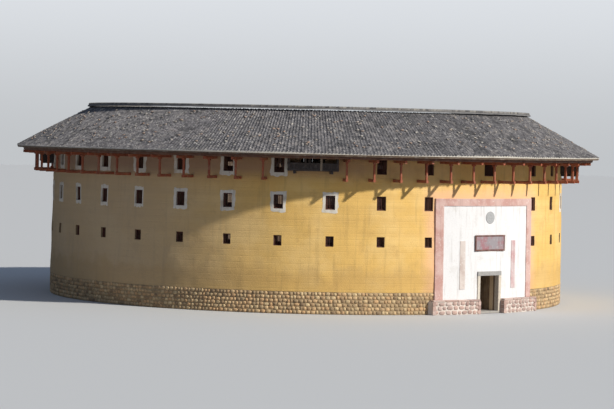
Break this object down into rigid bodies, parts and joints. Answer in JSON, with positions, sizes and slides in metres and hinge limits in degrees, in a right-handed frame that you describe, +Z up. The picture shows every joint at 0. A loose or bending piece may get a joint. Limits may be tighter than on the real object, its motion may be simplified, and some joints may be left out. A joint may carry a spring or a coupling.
{
  "type": "tulou roundhouse, 1:2 scale model",
  "caption": "Ring-shaped rammed-earth house round an open court, with timber galleries, a double-pitched tiled roof, small windows and one gate with two plank leaves.",
  "frame": {"origin": "centre of the court at ground level", "axes": "+Z up; the gate faces -Y; +X is to the right as one looks at the gate from outside"},
  "size_m": [21.577, 21.577, 7],
  "materials": {
    "earth_wall": "rammed yellow earth, dry and matt, with horizontal lift lines",
    "stone": "river cobbles and rubble in mortar",
    "dressed_stone": "dressed granite, worn at the edges",
    "plaster": "white lime plaster, matt",
    "border_paint": "brick-red limewash on plaster",
    "plaque_paint": "dark painted board",
    "strip_paper": "faded red paper, bare",
    "emblem_plaster": "grey relief plaster",
    "timber": "old fir, oiled and smoked",
    "red_timber": "reddish fir, weathered",
    "lookout_timber": "dark weathered boards",
    "roof_tile": "grey fired clay tiles, mottled with lichen",
    "door_timber": "heavy plank, dark brown"
  },
  "bodies": {
    "house": {"wall_front_east": "earth_wall", "wall_east": "earth_wall", "wall_back_east": "earth_wall", "wall_back_west": "earth_wall", "wall_west": "earth_wall", "wall_front_west": "earth_wall", "gate_wall_west": "earth_wall", "gate_wall_east": "earth_wall", "wall_over_gate": "earth_wall", "stone_footing": "stone", "ground_floor": "stone", "gate_plinth_west": "stone", "gate_plinth_east": "stone", "door_frame": "dressed_stone", "threshold": "dressed_stone", "gate_panel": "plaster", "gate_border": "border_paint", "name_plaque": "plaque_paint", "wall_strip_west": "strip_paper", "wall_strip_east": "strip_paper", "emblem": "emblem_plaster", "floor_2": "timber", "floor_3": "timber", "floor_4": "timber", "gallery_posts_front_east": "timber", "gallery_posts_back_east": "timber", "gallery_posts_back_west": "timber", "gallery_posts_front_west": "timber", "railing_2": "timber", "railing_3": "timber", "railing_4": "timber", "roof_frame": "timber", "eave_brackets_front_east": "red_timber", "eave_brackets_back_east": "red_timber", "eave_brackets_back_west": "red_timber", "eave_brackets_front_west": "red_timber", "lookout_1": "lookout_timber", "lookout_2": "lookout_timber", "lookout_3": "lookout_timber", "lookout_4": "lookout_timber", "roof_outer_front_east": "roof_tile", "roof_outer_back_east": "roof_tile", "roof_outer_back_west": "roof_tile", "roof_outer_front_west": "roof_tile", "roof_court": "roof_tile", "roof_ridge": "roof_tile"},
    "leaf_west": {"gate_leaf_west": "door_timber"},
    "leaf_east": {"gate_leaf_east": "door_timber"}
  },
  "joints": [
    {"name": "gate_leaf_west_hinge", "type": "hinge", "parent": "house", "child": "leaf_west", "pos_m": [-0.4725, -9.0765, 0.7], "axis": [0, 0, 1], "range_deg": [-90, 0]},
    {"name": "gate_leaf_east_hinge", "type": "hinge", "parent": "house", "child": "leaf_east", "pos_m": [0.4725, -9.0765, 0.7], "axis": [0, 0, 1], "range_deg": [0, 90]}
  ]
}
